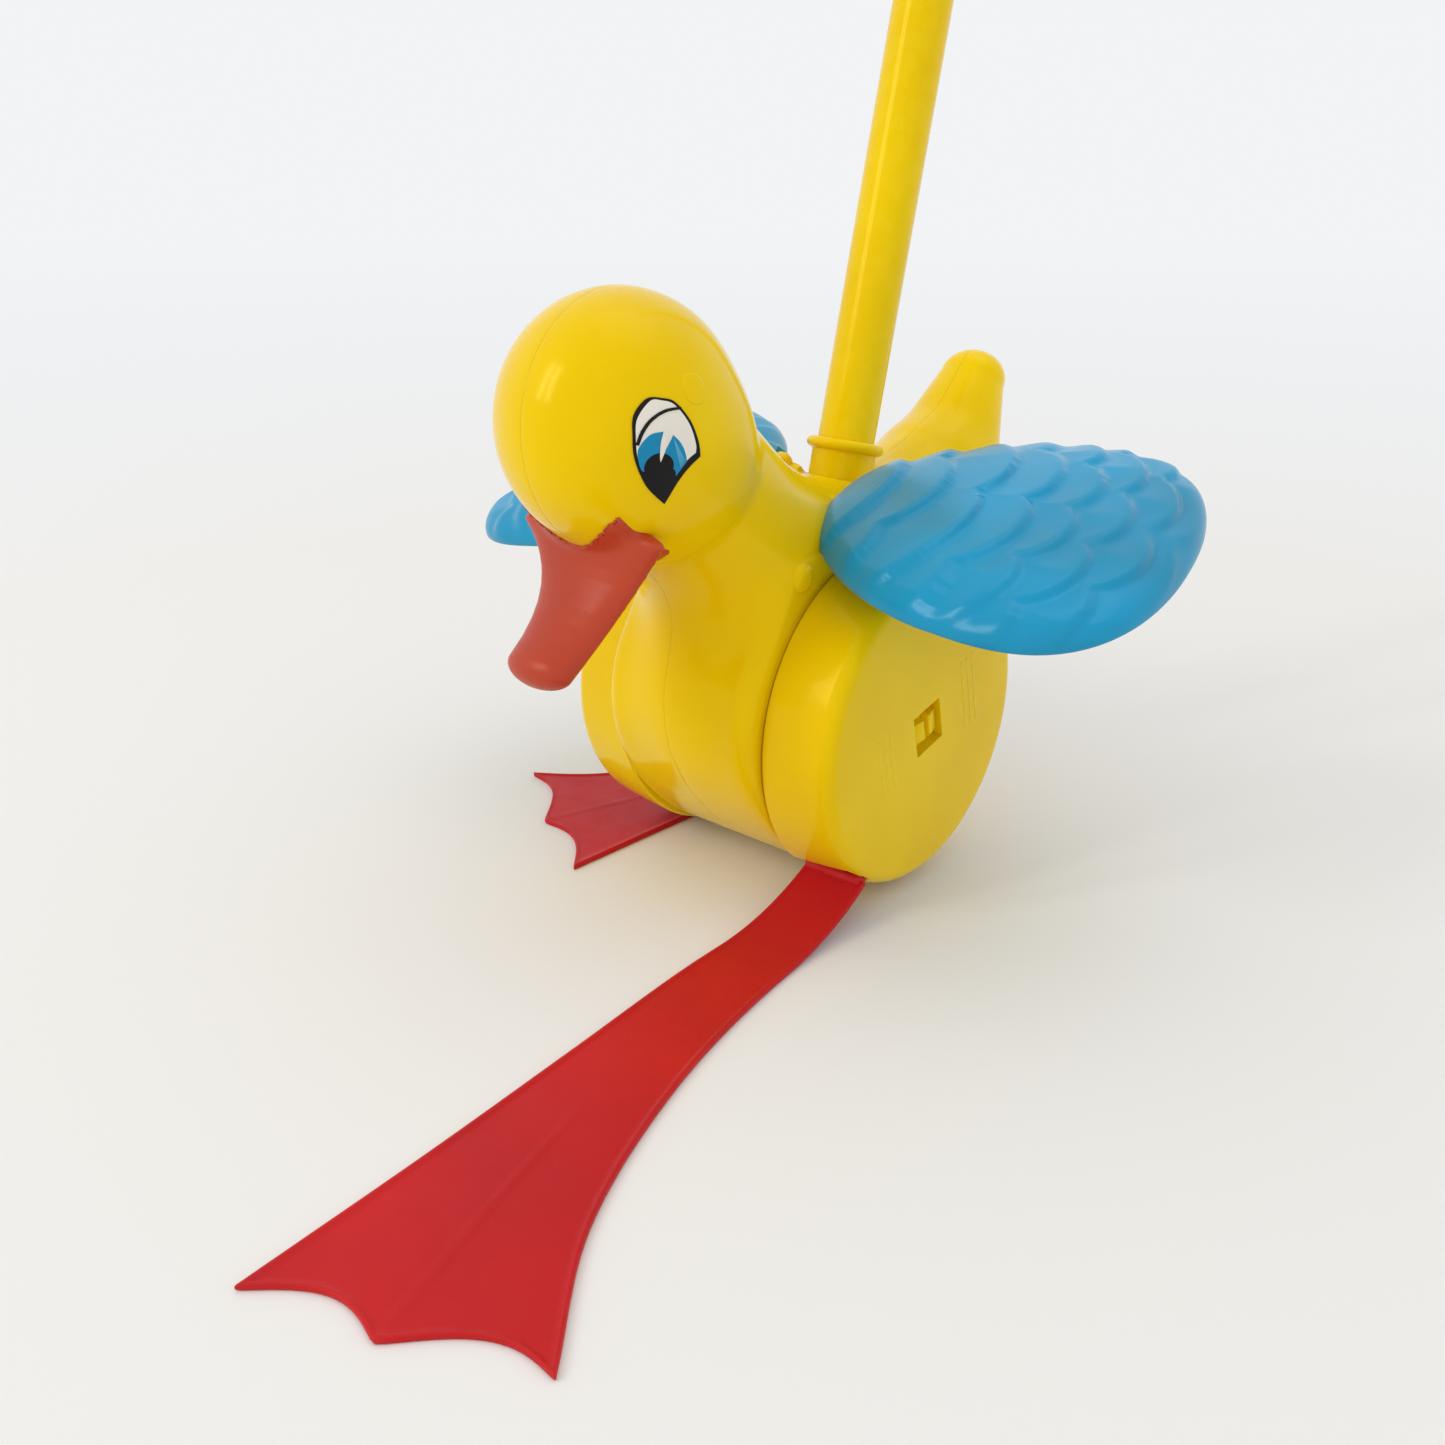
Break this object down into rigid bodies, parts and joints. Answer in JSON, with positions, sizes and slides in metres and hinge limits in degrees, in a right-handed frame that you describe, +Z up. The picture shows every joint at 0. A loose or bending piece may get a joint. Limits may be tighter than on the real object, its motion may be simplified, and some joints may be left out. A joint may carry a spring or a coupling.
{
  "type": "push-along walking toy",
  "caption": "Yellow push-along duck on a long stick, with flapping blue wings and flexible webbed feet hung on its drum wheels.",
  "frame": {"origin": "on the floor, under the centre of the whole toy's bounding box", "axes": "+Z up, the duck faces -Y, +X towards the duck's left side; the axle lies along X"},
  "size_m": [0.2074, 0.3388, 0.5371],
  "materials": {
    "yellow_plastic": "glossy injection-moulded yellow plastic",
    "blue_plastic": "satin-gloss blue plastic with moulded feather relief",
    "red_plastic": "soft flexible red plastic, fine satin grain",
    "beak_plastic": "satin terracotta plastic",
    "eye_sticker": "printed gloss film: cream, blue and black"
  },
  "bodies": {
    "body": {"left_body_shell": "yellow_plastic", "right_body_shell": "yellow_plastic", "beak": "beak_plastic", "left_eye_sticker": "eye_sticker", "right_eye_sticker": "eye_sticker", "head_rivet": "yellow_plastic", "shoulder_rivet": "yellow_plastic", "stick_collar": "yellow_plastic", "lower_stick": "yellow_plastic", "stick_coupler": "yellow_plastic", "upper_stick": "yellow_plastic", "handle_knob": "yellow_plastic", "left_wing_pin": "yellow_plastic", "right_wing_pin": "yellow_plastic"},
    "wheels": {"axle": "yellow_plastic", "left_wheel": "yellow_plastic", "right_wheel": "yellow_plastic"},
    "left_foot": {"left_foot": "red_plastic"},
    "right_foot": {"right_foot": "red_plastic"},
    "left_wing": {"left_wing": "blue_plastic"},
    "right_wing": {"right_wing": "blue_plastic"}
  },
  "joints": [
    {"name": "wheel_spin", "type": "hinge", "parent": "body", "child": "wheels", "pos_m": [0, 0.03087, 0.0468], "axis": [1, 0, 0], "continuous": true, "deforming": ["left_foot", "right_foot"]},
    {"name": "left_foot_swing", "type": "hinge", "parent": "wheels", "child": "left_foot", "pos_m": [0.034, 0.00563, 0.01076], "axis": [1, 0, 0], "range_deg": [-50, 50]},
    {"name": "right_foot_swing", "type": "hinge", "parent": "wheels", "child": "right_foot", "pos_m": [-0.034, 0.05611, 0.08284], "axis": [1, 0, 0], "range_deg": [0, 60]},
    {"name": "left_wing_flap", "type": "hinge", "parent": "body", "child": "left_wing", "pos_m": [0.0164, 0.03597, 0.1041], "axis": [0, -0.9656, -0.26], "range_deg": [0, 40]},
    {"name": "right_wing_flap", "type": "hinge", "parent": "body", "child": "right_wing", "pos_m": [-0.0164, 0.03597, 0.1041], "axis": [0, 0.9656, 0.26], "range_deg": [0, 40]}
  ]
}
